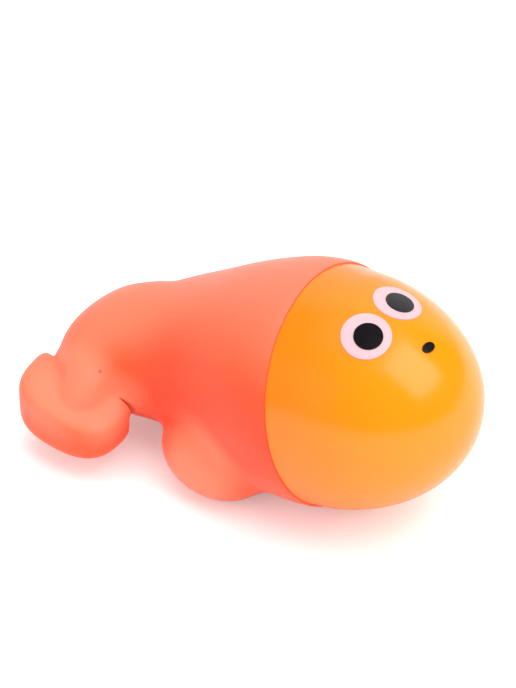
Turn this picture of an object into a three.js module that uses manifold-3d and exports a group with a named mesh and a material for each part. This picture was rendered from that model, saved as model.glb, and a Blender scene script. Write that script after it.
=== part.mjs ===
// A rubber bath toy in the form of a resting sea animal: a big egg-shaped head that looks up and forward,
// a trunk that tapers and turns to one side at the rump, a thick tail fluke and a short flipper on each side.
// The real toy is one hollow moulding of coral rubber. Its face is a field of yellow paint inside a fine
// moulded edge, and the eyes and nose are low pads that are painted pink and black.
// Millimetres, +Z up, +X towards the face, +Y to the animal's left. The origin is on the floor, in the
// middle of the flat seat under the head.
import * as THREE from "three";
import { mergeVertices, toCreasedNormals } from "three/addons/utils/BufferGeometryUtils.js";
import Module from "manifold-3d";

// Head: an egg with its long axis tipped up towards the face
const HEAD_LENGTH = 78.4;
const HEAD_WIDTH = 58.7;
const HEAD_HEIGHT = 62.2;
const HEAD_TIP_UP = 15.6; // degrees
const SEAT_DEPTH = 0.6; // how much of every rounded underside is flattened at the floor

// Trunk: round sections from inside the head to the rump. back and side are measured from the head's
// centre, height is the section's centre above the floor.
const TRUNK = [
  { back: 8.7, side: 0, height: 30.8, radius: 27.6 },
  { back: 21.5, side: 0.5, height: 28, radius: 24.6 },
  { back: 38, side: -1.5, height: 23.4, radius: 20.3 },
  { back: 54, side: -6, height: 20.6, radius: 16.4 },
];
// Tail: the same, but measured from the trunk's last section, to the middle of the fluke
const TAIL = [
  { back: 0, side: -1, height: 0.9, radius: 14.5 },
  { back: 6.4, side: -9.6, height: 2.7, radius: 10.8 },
  { back: 3.6, side: -19.3, height: 0.9, radius: 6 },
  { back: 5, side: -25, height: -3.6, radius: 5 },
];
const SPINE_STEPS = 30;
const NECK_BLEND = 7;
const RUMP_BLEND = 5;

// Flippers: one on each side, against the lower flank
const FLIPPER_LENGTH = 31.5;
const FLIPPER_WIDTH = 24.6;
const FLIPPER_HEIGHT = 22.6;
const FLIPPER_BACK = 23.7;
const FLIPPER_SIDE = 18;
const FLIPPER_TOE_OUT = 9; // degrees
const FLIPPER_BLEND = 3.5;

// Tail fluke: a thick slab clear of the floor, with a lobe towards the trunk at each end. Its top slopes
// down from the rear lobe to the front one. It is placed from the end of the tail.
const FLUKE_BACK = 1.9;
const FLUKE_SIDE = -1.4;
const FLUKE_OVER = 4.3; // top above the tail's end, at the middle
const FLUKE_UNDER = 10.5; // underside below the tail's end
const FLUKE_TURN = -3.3; // degrees
const FLUKE_SPAN = 29;
const FLUKE_CHORD = 12.6;
const FLUKE_LOBE = 8.5; // how much further the lobes reach than the middle
const FLUKE_SWEEP = 1.4; // how far the outer side bends in at the lobes
const FLUKE_CORNER = 6.8;
const FLUKE_SLOPE = 0.18; // fall of the top towards the front lobe
const FLUKE_LEAN = 0.21; // fall of the top towards the outer side
const FLUKE_ARCH = 0.006;
const FLUKE_TOP_EDGE = 2.4;
const FLUKE_LOW_EDGE = 3.2;
const FLUKE_BLEND = 3;

// Face: the paint ends at a plane square to the head's long axis, where the coral skin stands proud
const FACE_EDGE_FORWARD = -0.5;
const FACE_EDGE_STEP = 0.35;
const HOOD_LAP = 4; // how far the face runs on under the skin

// Eyes and nose: directions on the head, in degrees from its long axis
const EYE_UP = 57.9;
const PUPIL_UP = 57;
const EYE_APART = 27.6;
const EYE_RING = 12.5;
const EYE_PUPIL = 7.3;
const EYE_PAD = 0.25;
const PUPIL_PAD = 0.2;
const NOSE_UP = 36.7;
const NOSE_LENGTH = 3.4;
const NOSE_WIDTH = 2.4;
const NOSE_PAD = 0.35;
const PAD_ROOT = 1.2; // how deep a pad is sunk in the head

// Meshing
const CELL = 2.65;
const EVEN_PASSES = 4;
const PAD_SEGMENTS = 36;

// Colours
const CORAL = new THREE.Color(0xff6a4c);
const YELLOW = new THREE.Color(0xffa800);
const PINK = new THREE.Color(0xfdd3dc);
const BLACK = new THREE.Color(0x17131a);

const wasm = await Module();
wasm.setup();

const half = (size) => size / 2;
const radians = THREE.MathUtils.degToRad;

// Head frame

const headRadii = new THREE.Vector3(half(HEAD_LENGTH), half(HEAD_WIDTH), half(HEAD_HEIGHT));
const headTurn = new THREE.Quaternion().setFromAxisAngle(new THREE.Vector3(0, 1, 0), -radians(HEAD_TIP_UP));
// The lowest point of the tipped egg, from its centre
const tip = radians(HEAD_TIP_UP);
const headDrop = Math.hypot(headRadii.x * Math.sin(tip), headRadii.z * Math.cos(tip));
const headLowestBack =
  ((headRadii.x ** 2 - headRadii.z ** 2) * Math.sin(tip) * Math.cos(tip)) / headDrop;
const headCentre = new THREE.Vector3(headLowestBack, 0, headDrop - SEAT_DEPTH);
const underHead = new THREE.Vector3(headCentre.x, 0, 0);
const endOf = (sections, start) => {
  const last = sections.at(-1);
  return new THREE.Vector3(-last.back, last.side, last.height).add(start);
};
const rump = endOf(TRUNK, underHead);
const tailEnd = endOf(TAIL, rump);

// Distance fields: negative inside, in millimetres near the surface

function smoothUnion(a, b, width) {
  const h = THREE.MathUtils.clamp(0.5 + (0.5 * (b - a)) / width, 0, 1);
  return b * (1 - h) + a * h - width * h * (1 - h);
}

// A field of an ellipsoid with its centre, half-sizes and turn
function ellipsoidField(centre, radii, turn) {
  const back = turn.clone().invert();
  const q = new THREE.Vector3();
  return (p) => {
    q.copy(p).sub(centre).applyQuaternion(back);
    const near = Math.hypot(q.x / radii.x, q.y / radii.y, q.z / radii.z);
    const slope = Math.hypot(q.x / radii.x ** 2, q.y / radii.y ** 2, q.z / radii.z ** 2);
    return (near * (near - 1)) / Math.max(slope, 1e-6);
  };
}

// A field of round sections along a smooth spine, measured from a start
function limbField(sections, start) {
  const smooth = (points) => new THREE.CatmullRomCurve3(points, false, "catmullrom", 0.5);
  const spine = smooth(sections.map((s) => new THREE.Vector3(-s.back, s.side, s.height).add(start)));
  const girth = smooth(sections.map((s, i) => new THREE.Vector3(i, s.radius, 0)));
  const balls = [];
  for (let i = 0; i <= SPINE_STEPS; i++) {
    const t = i / SPINE_STEPS;
    balls.push({ centre: spine.getPoint(t), radius: girth.getPoint(t).y });
  }
  return (p) => {
    let near = Infinity;
    for (const ball of balls) near = Math.min(near, p.distanceTo(ball.centre) - ball.radius);
    return near;
  };
}

function flipperField(side) {
  const radii = new THREE.Vector3(half(FLIPPER_LENGTH), half(FLIPPER_WIDTH), half(FLIPPER_HEIGHT));
  const centre = new THREE.Vector3(
    headCentre.x - FLIPPER_BACK,
    side * FLIPPER_SIDE,
    radii.z - SEAT_DEPTH,
  );
  const turn = new THREE.Quaternion().setFromAxisAngle(
    new THREE.Vector3(0, 0, 1),
    side * radians(FLIPPER_TOE_OUT),
  );
  return ellipsoidField(centre, radii, turn);
}

// A slab with round edges
function flukeField() {
  const centre = new THREE.Vector3(-FLUKE_BACK, FLUKE_SIDE, 0).add(tailEnd);
  const back = new THREE.Quaternion().setFromAxisAngle(new THREE.Vector3(0, 0, 1), -radians(FLUKE_TURN));
  const q = new THREE.Vector3();
  return (p) => {
    q.copy(p).sub(centre).applyQuaternion(back);
    const out = Math.min((q.x / half(FLUKE_SPAN)) ** 2, 1.6);
    const outer = -half(FLUKE_CHORD) + FLUKE_SWEEP * out;
    const inner = half(FLUKE_CHORD) + FLUKE_LOBE * out;
    const x = Math.abs(q.x) - half(FLUKE_SPAN) + FLUKE_CORNER;
    const y = Math.abs(q.y - half(inner + outer)) - half(inner - outer) + FLUKE_CORNER;
    const plan = Math.hypot(Math.max(x, 0), Math.max(y, 0)) + Math.min(Math.max(x, y), 0) - FLUKE_CORNER;
    const top = FLUKE_OVER - FLUKE_SLOPE * q.x + FLUKE_LEAN * q.y - FLUKE_ARCH * q.x ** 2;
    const up = q.z - half(top - FLUKE_UNDER);
    const edge = up > 0 ? FLUKE_TOP_EDGE : FLUKE_LOW_EDGE;
    const side = plan + edge;
    const face = Math.abs(up) - half(top + FLUKE_UNDER) + edge;
    return Math.hypot(Math.max(side, 0), Math.max(face, 0)) + Math.min(Math.max(side, face), 0) - edge;
  };
}

const headField = ellipsoidField(headCentre, headRadii, headTurn);
const trunk = limbField(TRUNK, underHead);
const tail = limbField(TAIL, rump);
const flippers = [flipperField(-1), flipperField(1)];
const fluke = flukeField();

function bodyField(p) {
  let d = smoothUnion(headField(p), trunk(p), NECK_BLEND);
  d = smoothUnion(d, tail(p), RUMP_BLEND);
  for (const flipper of flippers) d = smoothUnion(d, flipper(p), FLIPPER_BLEND);
  return smoothUnion(d, fluke(p), FLUKE_BLEND);
}

// Meshing

// Moves a point onto the surface where a field is zero
function settle(point, level) {
  const e = 0.02;
  const q = new THREE.Vector3();
  const slope = new THREE.Vector3();
  const change = (axis) => {
    q.copy(point)[axis] += e;
    const ahead = level(q);
    q[axis] -= 2 * e;
    return (ahead - level(q)) / (2 * e);
  };
  for (let pass = 0; pass < 3; pass++) {
    slope.set(change("x"), change("y"), change("z"));
    point.addScaledVector(slope, -level(point) / Math.max(slope.lengthSq(), 0.1));
  }
}

// Fills the grid faces whose corners are inside on one diagonal and outside on the other, because two sheets
// of the surface would meet along an edge there
function closeCrossedFaces(values, size, index) {
  const steps = [[1, 0, 0], [0, 1, 0], [0, 0, 1]];
  let found = true;
  while (found) {
    found = false;
    for (let k = 0; k < size.z - 1; k++)
      for (let j = 0; j < size.y - 1; j++)
        for (let i = 0; i < size.x - 1; i++)
          for (let n = 0; n < 3; n++) {
            const [u, v] = [steps[n], steps[(n + 1) % 3]];
            const corners = [
              index(i, j, k),
              index(i + u[0], j + u[1], k + u[2]),
              index(i + u[0] + v[0], j + u[1] + v[1], k + u[2] + v[2]),
              index(i + v[0], j + v[1], k + v[2]),
            ];
            const [a, b, c, d] = corners.map((corner) => values[corner] < 0);
            if (a !== c || b !== d || a === b) continue;
            for (const corner of corners) values[corner] = Math.min(values[corner], -0.01);
            found = true;
          }
  }
}

// The surface of a field as a closed mesh. Each grid cell that the surface crosses gets one vertex, and each
// grid edge that it crosses gets one quad between the four cells around it. The vertices are then evened out.
function surfaceOf(field, inset) {
  const level = (p) => field(p) + inset;
  const reach = headRadii.x + headRadii.z;
  const low = new THREE.Vector3(tailEnd.x - FLUKE_SPAN, -reach, -2 * CELL);
  const high = new THREE.Vector3(headCentre.x + reach, reach, headCentre.z + reach);
  const size = high.sub(low).divideScalar(CELL).ceil();
  const index = (i, j, k) => (k * size.y + j) * size.x + i;
  const place = (i, j, k) => new THREE.Vector3(i, j, k).multiplyScalar(CELL).add(low);
  const values = new Float32Array(size.x * size.y * size.z);
  for (let k = 0; k < size.z; k++)
    for (let j = 0; j < size.y; j++)
      for (let i = 0; i < size.x; i++) values[index(i, j, k)] = level(place(i, j, k));
  const inside = (i, j, k) => values[index(i, j, k)] < 0;
  closeCrossedFaces(values, size, index);

  const points = [];
  const vertexOf = new Map();
  const vertex = (i, j, k) => {
    const key = index(i, j, k);
    if (!vertexOf.has(key)) {
      vertexOf.set(key, points.length);
      points.push(place(i + 0.5, j + 0.5, k + 0.5));
    }
    return vertexOf.get(key);
  };
  const quads = [];
  const join = (corners, outward) => quads.push(outward ? corners : corners.reverse());
  for (let k = 1; k < size.z - 1; k++)
    for (let j = 1; j < size.y - 1; j++)
      for (let i = 1; i < size.x - 1; i++) {
        const here = inside(i, j, k);
        const [a, b, c] = [i - 1, j - 1, k - 1];
        if (here !== inside(i + 1, j, k))
          join([vertex(i, b, c), vertex(i, j, c), vertex(i, j, k), vertex(i, b, k)], here);
        if (here !== inside(i, j + 1, k))
          join([vertex(a, j, c), vertex(a, j, k), vertex(i, j, k), vertex(i, j, c)], here);
        if (here !== inside(i, j, k + 1))
          join([vertex(a, b, k), vertex(i, b, k), vertex(i, j, k), vertex(a, j, k)], here);
      }

  const near = points.map(() => new Set());
  for (const quad of quads)
    quad.forEach((v, n) => near[v].add(quad[(n + 1) % 4]).add(quad[(n + 3) % 4]));
  for (const point of points) settle(point, level);
  for (let pass = 0; pass < EVEN_PASSES; pass++)
    points.forEach((point, v) => {
      const middle = new THREE.Vector3();
      for (const n of near[v]) middle.add(points[n]);
      point.lerp(middle.divideScalar(near[v].size), 0.5);
      settle(point, level);
    });

  const faces = quads.flatMap(([a, b, c, d]) =>
    points[a].distanceTo(points[c]) < points[b].distanceTo(points[d])
      ? [a, b, c, a, c, d]
      : [b, c, d, b, d, a],
  );
  const geometry = new THREE.BufferGeometry().setFromPoints(points);
  geometry.setIndex(faces);
  return geometry;
}

function solidOf(geometry) {
  const plain = geometry.index ? geometry.toNonIndexed() : geometry.clone();
  for (const name of Object.keys(plain.attributes)) if (name !== "position") plain.deleteAttribute(name);
  const merged = mergeVertices(plain, 1e-4);
  return new wasm.Manifold(
    new wasm.Mesh({
      numProp: 3,
      vertProperties: merged.attributes.position.array,
      triVerts: merged.index.array,
    }),
  );
}

// A low pad that follows the head, in a given direction from its centre: a disc, or a slot with round ends
// where it is longer across the face than along it
function pad(up, aside, length, width, height) {
  const a = radians(up);
  const b = radians(aside);
  const onEgg = new THREE.Vector3(Math.cos(a) * Math.cos(b), Math.sin(b), Math.sin(a) * Math.cos(b));
  const centre = onEgg.multiply(headRadii);
  const normalAt = (q) => q.clone().divide(headRadii).divide(headRadii).normalize();
  const normal = normalAt(centre);
  const across = new THREE.Vector3(0, 1, 0).addScaledVector(normal, -normal.y).normalize();
  const along = across.clone().cross(normal);
  const profile = [[0, -PAD_ROOT], [1, -PAD_ROOT], [1, height], [0.7, height], [0.35, height], [0, height]];
  const disc = new THREE.LatheGeometry(profile.map(([r, y]) => new THREE.Vector2(r, y)), PAD_SEGMENTS);
  const corners = disc.getAttribute("position");
  const p = new THREE.Vector3();
  const q = new THREE.Vector3();
  for (let i = 0; i < corners.count; i++) {
    p.fromBufferAttribute(corners, i);
    const stretch = Math.abs(p.x) < 1e-6 ? 0 : Math.sign(p.x) * Math.hypot(p.x, p.z) * half(length - width);
    q.copy(centre).addScaledVector(across, p.x * half(width) + stretch).addScaledVector(along, p.z * half(width));
    q.divideScalar(q.clone().divide(headRadii).length());
    q.addScaledVector(normalAt(q), p.y - FACE_EDGE_STEP);
    q.applyQuaternion(headTurn).add(headCentre);
    corners.setXYZ(i, q.x, q.y, q.z);
  }
  return solidOf(disc);
}

const paint = new Map();
function painted(solid, colour) {
  const own = solid.asOriginal();
  paint.set(own.originalID(), colour);
  return own;
}

function block(geometry, place) {
  place(geometry);
  return solidOf(geometry);
}

const far = 4 * HEAD_LENGTH;
const alongHead = (forward) => (g) => {
  g.translate(forward, 0, 0);
  g.applyQuaternion(headTurn);
  g.translate(headCentre.x, headCentre.y, headCentre.z);
};
const cube = () => new THREE.BoxGeometry(far, far, far);
const behindFace = block(cube(), alongHead(FACE_EDGE_FORWARD - half(far)));
const aheadOfHood = block(cube(), alongHead(FACE_EDGE_FORWARD - HOOD_LAP + half(far)));
const underFloor = block(cube(), (g) => g.translate(0, 0, -half(far)));

const skin = painted(solidOf(surfaceOf(bodyField, 0)), CORAL);
const faceSkin = painted(solidOf(surfaceOf(bodyField, FACE_EDGE_STEP)), YELLOW);
let body = faceSkin.intersect(aheadOfHood).add(skin.intersect(behindFace));
for (const side of [-1, 1]) {
  const aside = side * half(EYE_APART);
  body = body.add(painted(pad(EYE_UP, aside, EYE_RING, EYE_RING, EYE_PAD), PINK));
  body = body.add(painted(pad(PUPIL_UP, aside, EYE_PUPIL, EYE_PUPIL, EYE_PAD + PUPIL_PAD), BLACK));
}
body = body.add(painted(pad(NOSE_UP, 0, NOSE_LENGTH, NOSE_WIDTH, NOSE_PAD), BLACK));
body = body.subtract(underFloor);

// The finished solid as a three.js geometry, each face in the colour of the skin that it came from
function colouredGeometry(solid) {
  const mesh = solid.getMesh();
  const colours = new Float32Array(mesh.triVerts.length * 3);
  for (let run = 0; run < mesh.runOriginalID.length; run++) {
    const colour = paint.get(mesh.runOriginalID[run]) ?? CORAL;
    for (let i = mesh.runIndex[run]; i < mesh.runIndex[run + 1]; i++) colour.toArray(colours, i * 3);
  }
  const geometry = new THREE.BufferGeometry();
  geometry.setAttribute("position", new THREE.BufferAttribute(mesh.vertProperties, 3));
  geometry.setIndex(new THREE.BufferAttribute(mesh.triVerts, 1));
  const shaded = toCreasedNormals(geometry, radians(35));
  shaded.setAttribute("color", new THREE.BufferAttribute(colours, 3));
  return shaded;
}

const rubber = new THREE.MeshStandardMaterial({ vertexColors: true, roughness: 0.5, metalness: 0 });
const moulding = new THREE.Mesh(colouredGeometry(body), rubber);
moulding.name = "moulded_body";
const toy = new THREE.Group();
toy.add(moulding);
export default toy;
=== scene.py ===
from math import cos, hypot, radians, sin

import bpy
from mathutils import Matrix, Vector
from mathutils.bvhtree import BVHTree


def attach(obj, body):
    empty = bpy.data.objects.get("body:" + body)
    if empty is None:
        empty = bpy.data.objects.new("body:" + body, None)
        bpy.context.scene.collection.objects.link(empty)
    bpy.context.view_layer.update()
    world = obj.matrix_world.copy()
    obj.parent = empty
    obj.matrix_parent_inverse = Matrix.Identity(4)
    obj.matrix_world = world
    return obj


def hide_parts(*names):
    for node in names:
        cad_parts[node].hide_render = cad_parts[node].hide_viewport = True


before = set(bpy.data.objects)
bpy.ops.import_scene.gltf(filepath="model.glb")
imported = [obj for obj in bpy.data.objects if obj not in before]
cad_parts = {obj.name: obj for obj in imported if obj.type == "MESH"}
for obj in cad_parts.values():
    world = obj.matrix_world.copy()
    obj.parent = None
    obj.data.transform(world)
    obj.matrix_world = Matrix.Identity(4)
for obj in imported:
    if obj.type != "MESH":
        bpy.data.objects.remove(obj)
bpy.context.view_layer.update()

bpy.ops.object.select_all(action="DESELECT")


# The moulding: the whole toy is one hollow skin of soft coral rubber, cast in a closed mould. Its head, trunk, tail,
# fluke and flippers are shaped one by one here and then grown into one skin, whose joints are hollows without an
# edge. The front of the head is masked off at a fine step and sprayed with yellow paint.

MM = 0.001

# Head: an egg that looks up
HEAD_CENTRE = Vector((4.645, 0, 31.155)) * MM
HEAD_RADII = Vector((39.2, 29.35, 31.1)) * MM
HEAD_TIP_UP = radians(15.6)


def add_ball(centre, radii, turn=(0, 0, 0)):
    bpy.ops.mesh.primitive_uv_sphere_add(
        segments=96, ring_count=64, radius=1, location=centre, rotation=turn, scale=radii
    )
    bpy.ops.object.transform_apply(location=True, rotation=True, scale=True)
    return bpy.context.object


head = add_ball(HEAD_CENTRE, HEAD_RADII, (0, -HEAD_TIP_UP, 0))

# Trunk and tail: each section is x, y, z and a radius, in millimetres
TRUNK_SECTIONS = [
    (-4.1, 0, 30.8, 28.3),
    (-16.9, 0.5, 28, 25.3),
    (-33.4, -1.5, 23.4, 20.9),
    (-49.4, -6, 20.6, 16.4),
]
TAIL_SECTIONS = [
    (-49.4, -7, 21.5, 15),
    (-55.8, -15.6, 23.3, 11.8),
    (-53, -25, 21.7, 7.4),
    (-54.4, -31, 17, 5),
]


def add_limb(sections):
    """A round tube that bends through the sections, with a ball at its far end."""
    bpy.ops.curve.primitive_bezier_curve_add()
    limb = bpy.context.object
    spline = limb.data.splines[0]
    spline.bezier_points.add(len(sections) - 2)
    spline.radius_interpolation = "CARDINAL"
    for point, (x, y, z, radius) in zip(spline.bezier_points, sections):
        point.co = Vector((x, y, z)) * MM
        point.radius = radius
        point.handle_left_type = point.handle_right_type = "AUTO"
    limb.data.bevel_depth = MM
    limb.data.bevel_resolution = 18
    limb.data.use_fill_caps = True
    spline.resolution_u = 16
    bpy.ops.object.convert(target="MESH")
    limb = bpy.context.object
    x, y, z, radius = sections[-1]
    end = add_ball(Vector((x, y, z)) * MM, (radius * MM,) * 3)
    end.select_set(True)
    limb.select_set(True)
    bpy.context.view_layer.objects.active = limb
    bpy.ops.object.join()
    bpy.ops.object.select_all(action="DESELECT")
    return limb


trunk = add_limb(TRUNK_SECTIONS)
tail = add_limb(TAIL_SECTIONS)

# Flippers: a flattened egg on each side, with its toe turned out
FLIPPER_RADII = Vector((15.75, 12.3, 11.3)) * MM
FLIPPER_BACK = -19.05
FLIPPER_ASIDE = 18
FLIPPER_UP = 10.7
FLIPPER_TOE_OUT = radians(9)
flippers = [
    add_ball(
        Vector((FLIPPER_BACK, side * FLIPPER_ASIDE, FLIPPER_UP)) * MM,
        FLIPPER_RADII,
        (0, 0, side * FLIPPER_TOE_OUT),
    )
    for side in (-1, 1)
]

# Fluke: a thick slab with a lobe at each end, squared up from a ball. Its top falls towards the front lobe and
# towards the outer side, and it arches a little. Heights are from the fluke's centre, in millimetres.
FLUKE_CENTRE = Vector((-56.25, -32.4, 17)) * MM
FLUKE_TURN = radians(-3.3)
FLUKE_HALF_SPAN = 14.5
FLUKE_HALF_CHORD = 6.3
FLUKE_LOBE = 8.5
FLUKE_SWEEP = 1.4
FLUKE_OVER = 4.3
FLUKE_UNDER = -10.5
FLUKE_SLOPE = 0.18
FLUKE_LEAN = 0.21
FLUKE_ARCH = 0.006
FLUKE_PLAN_POWER = 0.7
FLUKE_TOP_POWER = 0.33
FLUKE_LOW_POWER = 0.5


def squared(value, power):
    return abs(value) ** power * (1 if value > 0 else -1)


fluke = add_ball((0, 0, 0), (1, 1, 1))
for v in fluke.data.vertices:
    out = hypot(v.co.x, v.co.y)
    power = FLUKE_TOP_POWER if v.co.z > 0 else FLUKE_LOW_POWER
    reach = out ** power / max(out, 1e-9) ** FLUKE_PLAN_POWER
    along, aside = (reach * squared(c, FLUKE_PLAN_POWER) for c in (v.co.x, v.co.y))
    outer = -FLUKE_HALF_CHORD + FLUKE_SWEEP * along ** 2
    inner = FLUKE_HALF_CHORD + FLUKE_LOBE * along ** 2
    x = FLUKE_HALF_SPAN * along
    y = outer + (inner - outer) * (aside + 1) / 2
    top = FLUKE_OVER - FLUKE_SLOPE * x + FLUKE_LEAN * y - FLUKE_ARCH * x * x
    z = FLUKE_UNDER + (top - FLUKE_UNDER) * (squared(v.co.z, power) + 1) / 2
    v.co = Vector((x, y, z)) * MM
fluke.rotation_euler = (0, 0, FLUKE_TURN)
fluke.location = FLUKE_CENTRE
bpy.ops.object.transform_apply(location=True, rotation=True, scale=True)

# One skin is grown over all of them. What it was grown from is kept, to find the joints by.
SKIN_GRAIN = 0.6 * MM
shaped = {"head": [head], "trunk": [trunk], "tail": [tail], "fluke": [fluke], "flippers": flippers}
graph = bpy.context.evaluated_depsgraph_get()
surfaces = {
    name: [BVHTree.FromObject(part, graph) for part in parts] for name, parts in shaped.items()
}
bpy.ops.object.select_all(action="DESELECT")
for parts in shaped.values():
    for part in parts:
        part.select_set(True)
bpy.context.view_layer.objects.active = head
bpy.ops.object.join()
body = bpy.context.object
body.name = "rubber_moulding"


def apply(piece, kind, **settings):
    """Finishes the active piece with one modifier."""
    modifier = piece.modifiers.new(kind, kind)
    for key, value in settings.items():
        setattr(modifier, key, value)
    bpy.ops.object.modifier_apply(modifier=modifier.name)


apply(body, "REMESH", mode="VOXEL", voxel_size=SKIN_GRAIN)
apply(body, "SMOOTH", factor=0.5, iterations=4)

# The joints are softened: the parts on both sides, how far from both the hollow reaches in millimetres, how many
# times it is smoothed, and whether it is laid onto the solid's own hollow
CORE = ("head", "trunk", "tail")
JOINTS = [
    (("head",), ("trunk",), 16, 20, True),
    (("trunk",), ("tail",), 9, 12, True),
    (CORE, ("flippers",), 4, 5, False),
    (CORE, ("fluke",), 2, 2, False),
]
JOINT_FALL = 2.5  # how soon the softening is full, from the hollow's edge


def distance_to(names, point):
    return min(surface.find_nearest(point)[3] for name in names for surface in surfaces[name])


for ones, others, reach, passes, laid_on in JOINTS:
    group = body.vertex_groups.new(name="joint")
    for v in body.data.vertices:
        weight = 1 - (distance_to(ones, v.co) + distance_to(others, v.co)) / (reach * MM)
        if weight > 0:
            group.add([v.index], min(1, JOINT_FALL * weight), "REPLACE")
    apply(body, "SMOOTH", factor=0.5, iterations=passes, vertex_group="joint")
    if laid_on:
        apply(body, "SHRINKWRAP", target=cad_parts["moulded_body"], vertex_group="joint")
        apply(body, "SMOOTH", factor=0.5, iterations=passes, vertex_group="joint")
    body.vertex_groups.clear()

# The undersides are cut flat where the toy stands
CUT_MERGE = 0.001 * MM
bpy.ops.object.mode_set(mode="EDIT")
bpy.ops.mesh.select_all(action="SELECT")
bpy.ops.mesh.bisect(
    plane_co=(0, 0, 0), plane_no=(0, 0, 1), clear_inner=True, use_fill=True, threshold=CUT_MERGE
)

# The face ends along a plane square to the egg, and the rubber stands proud of the paint there
FACE_AXIS = Vector((cos(HEAD_TIP_UP), 0, sin(HEAD_TIP_UP)))
FACE_EDGE = -0.5 * MM
FACE_EDGE_WIDTH = 0.2 * MM
FACE_STEP = 0.35 * MM
FACE_START = FACE_EDGE + FACE_EDGE_WIDTH
NEARLY = 0.01 * MM


def forward_of(point):
    return (point - HEAD_CENTRE).dot(FACE_AXIS)


for forward in (FACE_EDGE, FACE_START):
    bpy.ops.mesh.select_all(action="SELECT")
    bpy.ops.mesh.bisect(
        plane_co=HEAD_CENTRE + FACE_AXIS * forward, plane_no=FACE_AXIS, threshold=CUT_MERGE
    )
bpy.ops.mesh.select_all(action="DESELECT")
bpy.ops.object.mode_set(mode="OBJECT")
outward = [v.normal.copy() for v in body.data.vertices]
for v, normal in zip(body.data.vertices, outward):
    if forward_of(v.co) > FACE_START - NEARLY:
        if v.co.z < NEARLY:
            normal.z = 0
        v.co -= normal * FACE_STEP

# Coral rubber: painted shade makes it deeper on the flanks, painted light makes it paler where it faces up and paler
# again on the flippers and the fluke, and it has a speck of dirt near the tail
CORAL = (1.0, 0.1, 0.022, 1)
# Painted shade: deeper coral on the flanks, where shade falls between the head, the flippers and the tail
CORAL_IN_PAINTED_SHADE = (1.0, 0.062, 0.014, 1)
# Painted light: paler coral where the surface faces up towards the lamps
CORAL_PAINTED_TOP_LIGHT = (1.0, 0.2, 0.11, 1)
# Painted light: paler coral on the flippers and the fluke
CORAL_PAINTED_LIT_FINS = (1.0, 0.225, 0.12, 1)
SPECK = (0.16, 0.03, 0.015, 1)
TOP_LIGHT_FROM = 0.4
TOP_LIGHT_MOST = 0.85
# Each patch of colour is a place, how far it is full, and how far it has faded out, in millimetres
PAINTED_SHADE_ON_FLANKS = [
    ((-28, -18, 24), 6, 26),
    ((-6, -27, 30), 6, 26),
    ((-28, 18, 24), 6, 26),
    ((-6, 27, 30), 6, 26),
]
PAINTED_LIGHT_ON_FINS = [
    ((-18, -27, 13), 5, 17),
    ((-18, 27, 13), 5, 17),
    ((-57, -32, 25), 6, 17),
    ((-43, -30, 21), 4, 12),
]
TAIL_SPECK = ((-49.4, -25.5, 28), 0.2, 0.9)


def new_material(name):
    material = bpy.data.materials.new(name)
    material.use_nodes = True
    nodes = material.node_tree.nodes
    return material, nodes, material.node_tree.links, nodes["Principled BSDF"]


def add_node(nodes, kind, **settings):
    node = nodes.new("ShaderNode" + kind)
    for key, value in settings.items():
        if key in node.inputs:
            node.inputs[key].default_value = value
        else:
            setattr(node, key, value)
    return node


def carried(nodes, links, value, start, end, at_start, at_end, fade="SMOOTHSTEP"):
    """A value that goes from at_start to at_end while the socket's goes from start to end."""
    carry = add_node(nodes, "MapRange", interpolation_type=fade)
    limits = (("From Min", start), ("From Max", end), ("To Min", at_start), ("To Max", at_end))
    for name, limit in limits:
        carry.inputs[name].default_value = limit
    links.new(value, carry.inputs["Value"])
    return carry.outputs["Result"]


def near_point(nodes, links, place, inside, outside):
    """1 within a distance of a point in millimetres, falling to 0 at a greater one."""
    coords = add_node(nodes, "TexCoord")
    distance = add_node(nodes, "VectorMath", operation="DISTANCE")
    distance.inputs[1].default_value = Vector(place) * MM
    links.new(coords.outputs["Object"], distance.inputs[0])
    return carried(nodes, links, distance.outputs["Value"], inside * MM, outside * MM, 1, 0)


def blended(nodes, links, amount, under, over):
    """A colour mixed into another, each a colour or a socket."""
    mix = add_node(nodes, "Mix", data_type="RGBA")
    for socket, value in ((mix.inputs[0], amount), (mix.inputs[6], under), (mix.inputs[7], over)):
        if isinstance(value, bpy.types.NodeSocket):
            links.new(value, socket)
        else:
            socket.default_value = value
    return mix.outputs[2]


def fine_grain(nodes, links, shader, size, height):
    """The faint orange peel that a polished mould leaves, in millimetres."""
    coords = add_node(nodes, "TexCoord")
    grain = add_node(nodes, "TexNoise", Scale=1 / (size * MM), Detail=3, Roughness=0.55)
    bump = add_node(nodes, "Bump", Strength=1, Distance=height * MM)
    links.new(coords.outputs["Object"], grain.inputs["Vector"])
    links.new(grain.outputs["Fac"], bump.inputs["Height"])
    links.new(bump.outputs["Normal"], shader.inputs["Normal"])


def smudges(nodes, links, shader, size, lowest, highest):
    """Roughness that drifts, as where the rubber has been handled."""
    coords = add_node(nodes, "TexCoord")
    noise = add_node(nodes, "TexNoise", Scale=1 / (size * MM), Detail=2)
    links.new(coords.outputs["Object"], noise.inputs["Vector"])
    least, most = 0.3, 0.7  # nearly all of the noise lies between these
    rough = carried(nodes, links, noise.outputs["Fac"], least, most, lowest, highest, fade="LINEAR")
    links.new(rough, shader.inputs["Roughness"])


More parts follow.
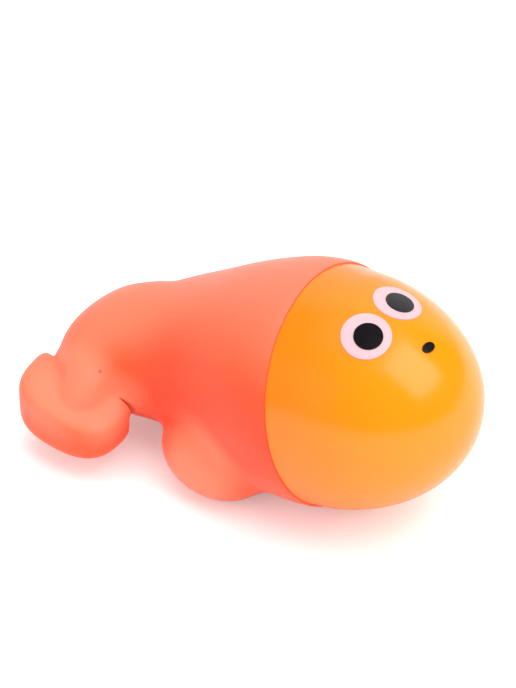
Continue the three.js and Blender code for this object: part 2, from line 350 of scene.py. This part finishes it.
coral, nodes, links, shader = new_material("coral_rubber")
colour = CORAL
# Painted shade, deeper on the flanks
for patch in PAINTED_SHADE_ON_FLANKS:
    colour = blended(nodes, links, near_point(nodes, links, *patch), colour, CORAL_IN_PAINTED_SHADE)
# Painted light, paler where the surface faces up
geometry = add_node(nodes, "NewGeometry")
upward = add_node(nodes, "SeparateXYZ")
links.new(geometry.outputs["Normal"], upward.inputs[0])
painted_top_light = carried(nodes, links, upward.outputs["Z"], TOP_LIGHT_FROM, 1, 0, TOP_LIGHT_MOST)
colour = blended(nodes, links, painted_top_light, colour, CORAL_PAINTED_TOP_LIGHT)
# Painted light, paler on the flippers and the fluke
for patch in PAINTED_LIGHT_ON_FINS:
    colour = blended(nodes, links, near_point(nodes, links, *patch), colour, CORAL_PAINTED_LIT_FINS)
colour = blended(nodes, links, near_point(nodes, links, *TAIL_SPECK), colour, SPECK)
links.new(colour, shader.inputs["Base Color"])
shader.inputs["Specular IOR Level"].default_value = 0.38
shader.inputs["Sheen Weight"].default_value = 0.14
shader.inputs["Sheen Roughness"].default_value = 0.45
shader.inputs["Subsurface Weight"].default_value = 0.12
shader.inputs["Subsurface Radius"].default_value = (1, 0.35, 0.2)
shader.inputs["Subsurface Scale"].default_value = 2 * MM
fine_grain(nodes, links, shader, size=0.5, height=0.012)
smudges(nodes, links, shader, size=14, lowest=0.42, highest=0.52)

# Yellow paint: glossier and smoother than the rubber, more orange at the hood's edge than at the snout, with a
# speck of dirt just below the snout's tip
YELLOW_AT_HOOD = (1.0, 0.212, 0.0, 1)
YELLOW_AT_SNOUT = (1.0, 0.295, 0.0, 1)
YELLOW_FADE = 36 * MM
FACE_SPECK = ((42.6, -1, 35), 0.15, 0.4)

yellow, nodes, links, shader = new_material("yellow_paint")
coords = add_node(nodes, "TexCoord")
ahead = add_node(nodes, "VectorMath", operation="DOT_PRODUCT")
ahead.inputs[1].default_value = FACE_AXIS
links.new(coords.outputs["Object"], ahead.inputs[0])
hood = HEAD_CENTRE.dot(FACE_AXIS)
snout = carried(nodes, links, ahead.outputs["Value"], hood, hood + YELLOW_FADE, 0, 1)
colour = blended(nodes, links, snout, YELLOW_AT_HOOD, YELLOW_AT_SNOUT)
colour = blended(nodes, links, near_point(nodes, links, *FACE_SPECK), colour, SPECK)
links.new(colour, shader.inputs["Base Color"])
shader.inputs["Specular IOR Level"].default_value = 0.52
fine_grain(nodes, links, shader, size=1.4, height=0.006)
smudges(nodes, links, shader, size=18, lowest=0.2, highest=0.25)

body.data.materials.clear()
body.data.materials.append(coral)
body.data.materials.append(yellow)
for face in body.data.polygons:
    face.material_index = 1 if forward_of(face.center) > FACE_START else 0

SHARP_FROM = radians(40)


def choose(piece):
    bpy.ops.object.select_all(action="DESELECT")
    piece.select_set(True)
    bpy.context.view_layer.objects.active = piece


choose(body)
bpy.ops.object.shade_smooth_by_angle(angle=SHARP_FROM)
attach(body, "root")
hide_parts("moulded_body")


# Eyes: a pale pink disc with a black pupil over it, both printed in thick ink on the painted face. They follow the
# curve of the head, and both sit a little towards the animal's right. Places are degrees round the egg, and sizes
# are in millimetres.

EYES_ROUND = 13.8
EYES_OFF_CENTRE = 1.76
EYE_RING_UP = 57.9
EYE_RING_WIDTH = 12.3
EYE_RING_HEIGHT = 0.25
PUPIL_UP = 57
PUPIL_WIDTH = 7.15
PUPIL_HEIGHT = 0.45
PLUG_DEPTH = 3

pink, nodes, links, shader = new_material("pink_print")
shader.inputs["Base Color"].default_value = (0.72, 0.46, 0.50, 1)
shader.inputs["Roughness"].default_value = 0.4
black, nodes, links, shader = new_material("black_print")
shader.inputs["Base Color"].default_value = (0.006, 0.004, 0.006, 1)
shader.inputs["Roughness"].default_value = 0.3
shader.inputs["Specular IOR Level"].default_value = 0.5


def add_pad(name, up, aside, length, width, height, material, spin=0):
    """What an oval plug cuts out of the egg, grown by the height over the paint."""
    up, aside = radians(up), radians(aside)
    grown = HEAD_RADII + Vector((1, 1, 1)) * (height * MM - FACE_STEP)
    pad = add_ball((0, 0, 0), grown)
    toward = Vector((cos(up) * cos(aside), sin(aside), sin(up) * cos(aside)))
    centre = Vector(c * r for c, r in zip(toward, HEAD_RADII))
    normal = Vector(c / r ** 2 for c, r in zip(centre, HEAD_RADII)).normalized()
    across = (Vector((0, 1, 0)) - normal * normal.y).normalized()
    across = Matrix.Rotation(radians(spin), 3, normal) @ across
    bpy.ops.mesh.primitive_cylinder_add(vertices=96, radius=width / 2 * MM, depth=PLUG_DEPTH * MM)
    plug = bpy.context.object
    for v in plug.data.vertices:
        v.co.x *= length / width
    plug.rotation_mode = "QUATERNION"
    plug.rotation_quaternion = Matrix((across, normal.cross(across), normal)).transposed().to_quaternion()
    plug.location = centre
    bpy.context.view_layer.update()
    choose(pad)
    apply(pad, "BOOLEAN", operation="INTERSECT", object=plug)
    bpy.data.objects.remove(plug)
    pad.name = name
    pad.rotation_euler = (0, -HEAD_TIP_UP, 0)
    pad.location = HEAD_CENTRE
    bpy.ops.object.transform_apply(location=True, rotation=True, scale=True)
    bpy.ops.object.shade_smooth_by_angle(angle=SHARP_FROM)
    pad.data.materials.clear()
    pad.data.materials.append(material)
    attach(pad, "root")


for side, hand in ((-1, "right"), (1, "left")):
    aside = side * EYES_ROUND - EYES_OFF_CENTRE
    add_pad(f"eye_ring_{hand}", EYE_RING_UP, aside, EYE_RING_WIDTH, EYE_RING_WIDTH, EYE_RING_HEIGHT, pink)
    add_pad(f"pupil_{hand}", PUPIL_UP, aside, PUPIL_WIDTH, PUPIL_WIDTH, PUPIL_HEIGHT, black)


# Nose: one small oval of the same black ink as the pupils, put onto the painted snout in the same way. It isn't
# quite level.

NOSE_UP = 36.7
NOSE_LENGTH = 3.9
NOSE_WIDTH = 2.45
NOSE_HEIGHT = 0.35
NOSE_SPIN = -10
add_pad("nose", NOSE_UP, 0, NOSE_LENGTH, NOSE_WIDTH, NOSE_HEIGHT, black, spin=NOSE_SPIN)


# Floor: a plain pale matt floor under the toy. It glows faintly where the camera sees it, and more farther out,
# so that it runs on into the white behind without an edge.

FLOOR_SIZE = 6
FLOOR_GREY = 0.93
GLOW_NEAR_AT, GLOW_NEAR = 0.15, 0.22
GLOW_FAR_AT, GLOW_FAR = 1.2, 0.6

floor_material, nodes, links, shader = new_material("pale_floor")
shader.inputs["Base Color"].default_value = (FLOOR_GREY, FLOOR_GREY, FLOOR_GREY, 1)
shader.inputs["Roughness"].default_value = 0.9
shader.inputs["Specular IOR Level"].default_value = 0.1
coords = add_node(nodes, "TexCoord")
away = add_node(nodes, "VectorMath", operation="LENGTH")
links.new(coords.outputs["Object"], away.inputs[0])
glow = add_node(nodes, "Emission")
dark = add_node(nodes, "Emission", Strength=0)
strength = carried(nodes, links, away.outputs["Value"], GLOW_NEAR_AT, GLOW_FAR_AT, GLOW_NEAR, GLOW_FAR)
links.new(strength, glow.inputs["Strength"])
rays = add_node(nodes, "LightPath")
seen = add_node(nodes, "MixShader")
both = add_node(nodes, "AddShader")
links.new(rays.outputs["Is Camera Ray"], seen.inputs["Fac"])
links.new(dark.outputs[0], seen.inputs[1])
links.new(glow.outputs[0], seen.inputs[2])
links.new(shader.outputs[0], both.inputs[0])
links.new(seen.outputs[0], both.inputs[1])
links.new(both.outputs[0], nodes["Material Output"].inputs["Surface"])
bpy.ops.mesh.primitive_plane_add(size=FLOOR_SIZE)
floor = bpy.context.object
floor.name = "floor"
floor.data.materials.append(floor_material)


# Light: a white tent all round, with a large softbox overhead and smaller ones in front and at the side. What the
# glossy paint mirrors is a white sweep behind the toy, and the dim room in front of it.

TENT_LEVEL = 0.65
SWEEP_DIRECTION = (-0.58, 0.8, 0.1)
SWEEP_FROM, ROOM_LEVEL = 0.5, 0.03
SWEEP_FULL, SWEEP_LEVEL = 0.82, 1.0

world = bpy.data.worlds.new("studio")
bpy.context.scene.world = world
world.use_nodes = True
nodes, links = world.node_tree.nodes, world.node_tree.links
sky = nodes["Background"]
sky.inputs["Color"].default_value = (1, 1, 1, 1)
rays = add_node(nodes, "LightPath")
through = add_node(nodes, "Math", operation="MAXIMUM")
links.new(rays.outputs["Is Camera Ray"], through.inputs[0])
links.new(rays.outputs["Is Transmission Ray"], through.inputs[1])
direction = add_node(nodes, "TexCoord")
toward_sweep = add_node(nodes, "VectorMath", operation="DOT_PRODUCT")
toward_sweep.inputs[1].default_value = SWEEP_DIRECTION
links.new(direction.outputs["Generated"], toward_sweep.inputs[0])
reflected = carried(
    nodes, links, toward_sweep.outputs["Value"], SWEEP_FROM, SWEEP_FULL, ROOM_LEVEL, SWEEP_LEVEL
)
level = add_node(nodes, "Mix", data_type="FLOAT")
level.inputs[2].default_value = TENT_LEVEL
links.new(rays.outputs["Is Glossy Ray"], level.inputs[0])
links.new(reflected, level.inputs[3])
strength = add_node(nodes, "Mix", data_type="FLOAT")
strength.inputs[3].default_value = 1
links.new(through.outputs[0], strength.inputs[0])
links.new(level.outputs[0], strength.inputs[2])
links.new(strength.outputs[0], sky.inputs["Strength"])

LIT_POINT = Vector((-5, -5, 25)) * MM


def add_softbox(name, place, size, power, mirrored):
    aim = (LIT_POINT - Vector(place)).to_track_quat("-Z", "Y").to_euler()
    bpy.ops.object.light_add(type="AREA", location=place, rotation=aim)
    lamp = bpy.context.object
    lamp.name = name
    lamp.data.shape = "SQUARE"
    lamp.data.size = size
    lamp.data.energy = power
    lamp.visible_glossy = mirrored


add_softbox("top_softbox", (0, 0.2, 1.2), size=1.3, power=10, mirrored=False)
add_softbox("front_softbox", (0.6, 0.08, 0.74), size=0.7, power=4, mirrored=True)
add_softbox("fill_softbox", (-0.35, -0.9, 0.4), size=0.8, power=2.5, mirrored=False)


# Camera: a long lens, looking down at the toy from its right and in front, as in the photograph.

CAMERA_PLACE = (0.3201, -0.5086, 0.6013)
CAMERA_DOWN = 42.9
CAMERA_ROUND = 33.7
bpy.ops.object.camera_add(
    location=CAMERA_PLACE, rotation=(radians(90 - CAMERA_DOWN), 0, radians(CAMERA_ROUND))
)
camera = bpy.context.object
camera.data.sensor_fit = "HORIZONTAL"
camera.data.sensor_width = 36
camera.data.lens = 233.44
bpy.context.scene.camera = camera
bpy.context.scene.view_settings.view_transform = "Standard"
